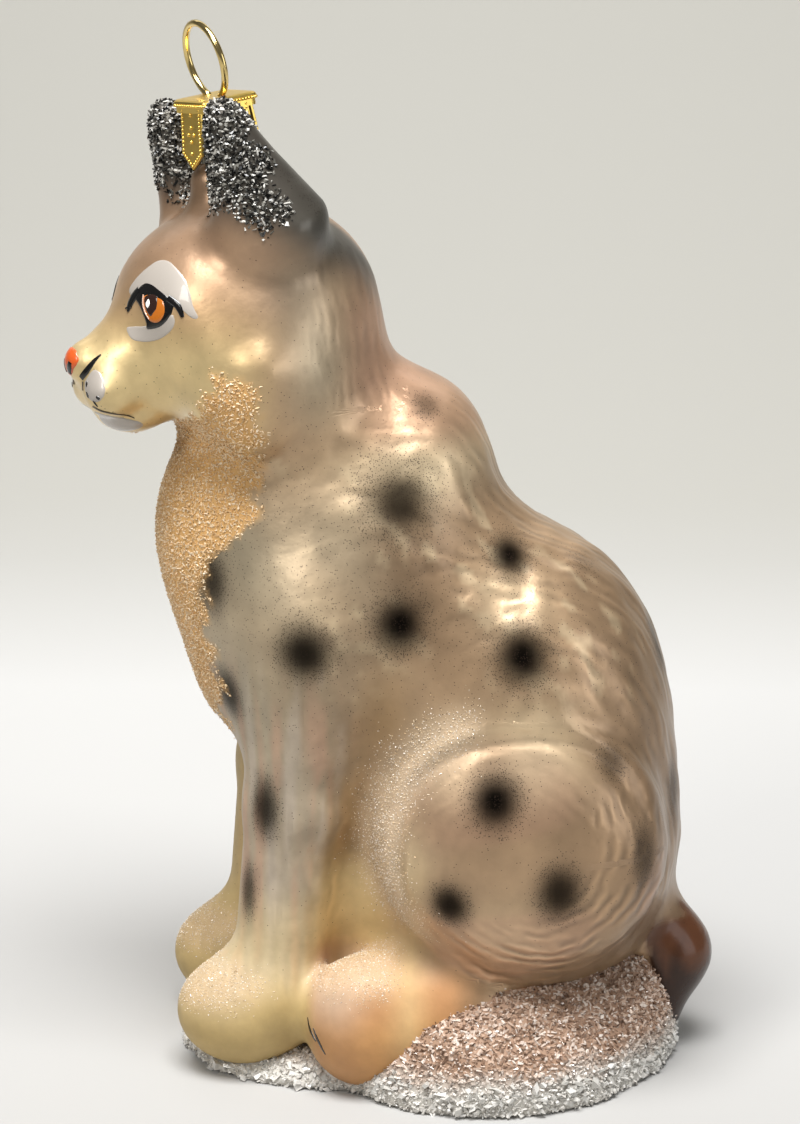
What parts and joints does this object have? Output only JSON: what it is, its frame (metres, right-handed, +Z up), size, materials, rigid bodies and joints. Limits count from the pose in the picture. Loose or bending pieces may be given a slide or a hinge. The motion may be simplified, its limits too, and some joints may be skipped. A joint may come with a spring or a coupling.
{
  "type": "blown glass lynx tree ornament",
  "caption": "Hollow glass tree ornament in the form of a sitting spotted lynx on a snow mound, with a stamped metal cap and wire hanging loop.",
  "frame": {"origin": "middle of the flat foot under the snow mound", "axes": "+Z up, the body faces -Y, its left side is +X"},
  "size_m": [0.0472, 0.0754, 0.1234],
  "materials": {
    "painted_glass": "satin pearl lacquer, tan and cream, with soft black spots",
    "eye_enamel": "glossy enamel, amber with black outline",
    "nose_enamel": "glossy orange enamel",
    "dark_glitter": "coarse silver-grey and black glass crystals over grey lacquer",
    "snow_glitter": "coarse crushed-glass crystals, white to peach",
    "bare_glass": "smooth silvered glass",
    "gold_metal": "bright gold-coloured stamped sheet and wire"
  },
  "bodies": {
    "root": {"head": "painted_glass", "eye_left": "eye_enamel", "eye_right": "eye_enamel", "nose": "nose_enamel", "ear_left": "dark_glitter", "ear_right": "dark_glitter", "neck": "painted_glass", "torso": "painted_glass", "rump": "painted_glass", "foreleg_left": "painted_glass", "forepaw_left": "painted_glass", "thigh_left": "painted_glass", "hindpaw_left": "painted_glass", "foreleg_right": "painted_glass", "forepaw_right": "painted_glass", "thigh_right": "painted_glass", "hindpaw_right": "painted_glass", "tail": "painted_glass", "snow_base": "snow_glitter", "glass_tube": "bare_glass", "cap": "gold_metal", "hanger_loop": "gold_metal"}
  },
  "joints": []
}
